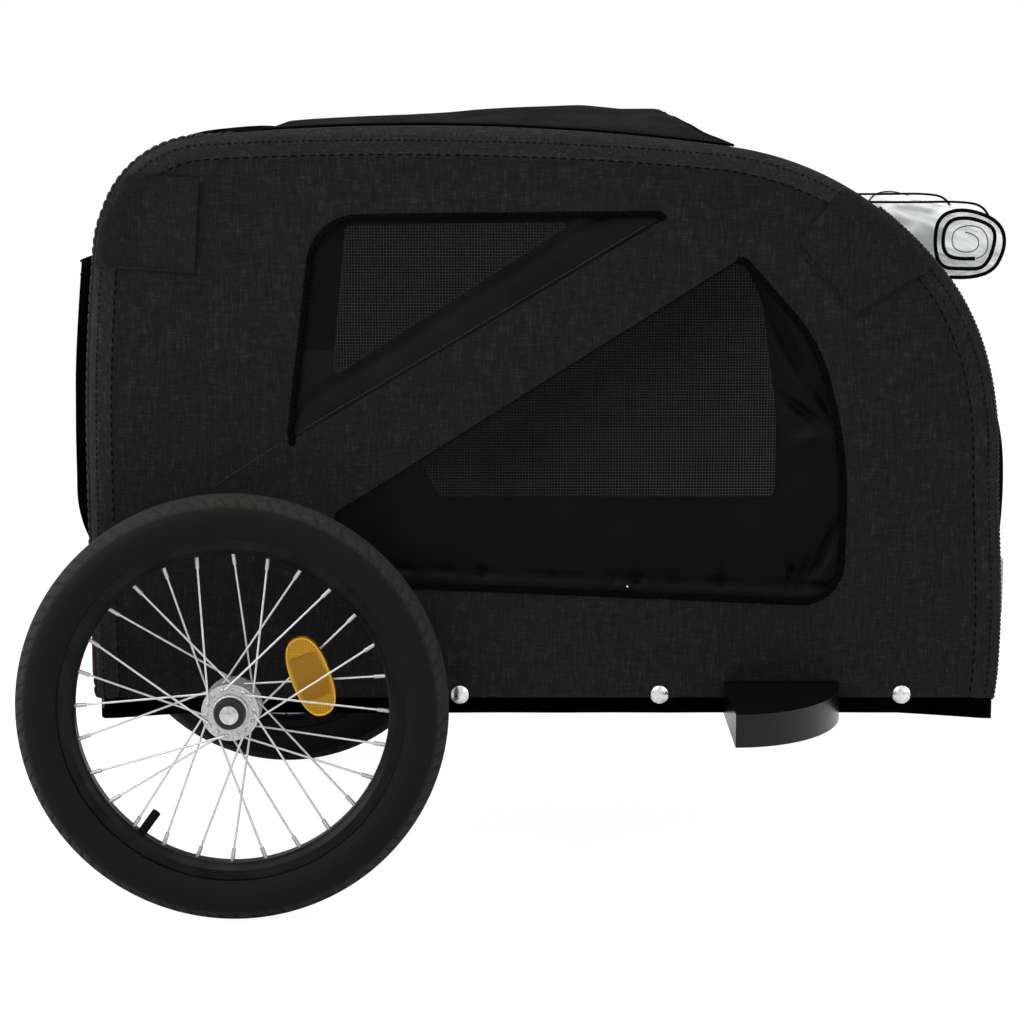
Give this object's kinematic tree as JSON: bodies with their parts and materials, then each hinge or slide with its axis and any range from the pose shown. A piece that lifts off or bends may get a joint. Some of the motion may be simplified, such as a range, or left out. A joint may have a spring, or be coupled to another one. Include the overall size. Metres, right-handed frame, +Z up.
{
  "type": "dog bike trailer",
  "caption": "Two-wheel dog bike trailer: tube frame in a charcoal fabric cabin with mesh windows, lifting front door and roof flap, spoked push-button wheels.",
  "frame": {"origin": "on the ground under the middle of the overall box", "axes": "+X forwards, +Y to the trailer's left, +Z up"},
  "size_m": [0.9194, 0.8002, 0.7505],
  "materials": {
    "black_steel": "satin",
    "black_coated_cloth": "smooth",
    "black_plastic": "satin moulded",
    "charcoal_cloth": "melange weave",
    "bright_steel": "bright",
    "floor_ply": "black film",
    "clear_reflector": "prismatic",
    "red_reflector": "prismatic",
    "amber_reflector": "prismatic",
    "clear_film": "clear film with black binding",
    "black_cloth": "woven",
    "black_elastic": "braided",
    "black_mesh": "knitted net",
    "axle_black": "satin",
    "tyre_rubber": "matt",
    "tube_rubber": "matt",
    "black_alloy": "black anodised",
    "bright_alloy": "polished",
    "seal_rubber": "matt seal",
    "chrome_button": "bright"
  },
  "bodies": {
    "frame": {"axle_beam": "black_steel", "base_cross_tubes": "black_steel", "base_skirt": "black_coated_cloth", "corner_blocks": "black_plastic", "corner_patches": "charcoal_cloth", "cover_screws": "bright_steel", "floor_board": "floor_ply", "front_panel": "black_cloth", "front_reflectors": "clear_reflector", "guard_bolts": "bright_steel", "rain_cover_roll": "clear_film", "rear_panel": "charcoal_cloth", "rear_pocket": "black_cloth", "rear_reflectors": "red_reflector", "roll_ties": "black_elastic", "roof_bar_bolts": "bright_steel", "roof_bars": "black_steel", "roof_mesh": "black_mesh", "roof_panel": "black_cloth", "seam_piping": "charcoal_cloth", "tow_socket": "black_steel", "window_piping": "black_cloth", "axle_right": "axle_black", "axle_left": "axle_black", "base_rail_right": "black_steel", "base_rail_left": "black_steel", "diagonal_brace_right": "black_steel", "diagonal_brace_left": "black_steel", "side_arch_right": "black_steel", "side_arch_left": "black_steel", "side_panel_right": "charcoal_cloth", "side_panel_left": "charcoal_cloth", "wheel_guard_right": "black_plastic", "wheel_guard_left": "black_plastic", "window_border_right": "black_coated_cloth", "window_border_left": "black_coated_cloth", "window_mesh_right": "black_mesh", "window_mesh_left": "black_mesh"},
    "roof_flap": {"roof_flap": "black_cloth"},
    "front_door": {"front_door_border": "black_coated_cloth", "front_door_mesh": "black_mesh"},
    "wheel_right": {"tyre_right": "tyre_rubber", "inner_tube_right": "tube_rubber", "rim_right": "black_alloy", "spokes_right": "bright_steel", "nipples_right": "bright_steel", "hub_right": "bright_alloy", "hub_bearings_right": "seal_rubber", "wheel_reflector_right": "amber_reflector"},
    "release_button_right": {"release_button_right": "chrome_button"},
    "wheel_left": {"tyre_left": "tyre_rubber", "inner_tube_left": "tube_rubber", "rim_left": "black_alloy", "spokes_left": "bright_steel", "nipples_left": "bright_steel", "hub_left": "bright_alloy", "hub_bearings_left": "seal_rubber", "wheel_reflector_left": "amber_reflector"},
    "release_button_left": {"release_button_left": "chrome_button"}
  },
  "joints": [
    {"name": "wheel_right_spin", "type": "hinge", "parent": "frame", "child": "wheel_right", "pos_m": [-0.25965, -0.31, 0.2], "axis": [0, 1, 0], "continuous": true},
    {"name": "release_right_push", "type": "slide", "parent": "frame", "child": "release_button_right", "axis": [0, 1, 0], "range_m": [0, 0.004], "stiffness_N_per_m": 400},
    {"name": "wheel_left_spin", "type": "hinge", "parent": "frame", "child": "wheel_left", "pos_m": [-0.25965, 0.31, 0.2], "axis": [0, 1, 0], "continuous": true},
    {"name": "release_left_push", "type": "slide", "parent": "frame", "child": "release_button_left", "axis": [0, -1, 0], "range_m": [0, 0.004], "stiffness_N_per_m": 400},
    {"name": "front_door_lift", "type": "hinge", "parent": "frame", "child": "front_door", "pos_m": [0.42386, 0, 0.5457], "axis": [0, -1, 0], "range_deg": [0, 110]},
    {"name": "roof_flap_lift", "type": "hinge", "parent": "frame", "child": "roof_flap", "pos_m": [-0.23265, 0, 0.72611], "axis": [0, -1, 0], "range_deg": [0, 110]}
  ]
}
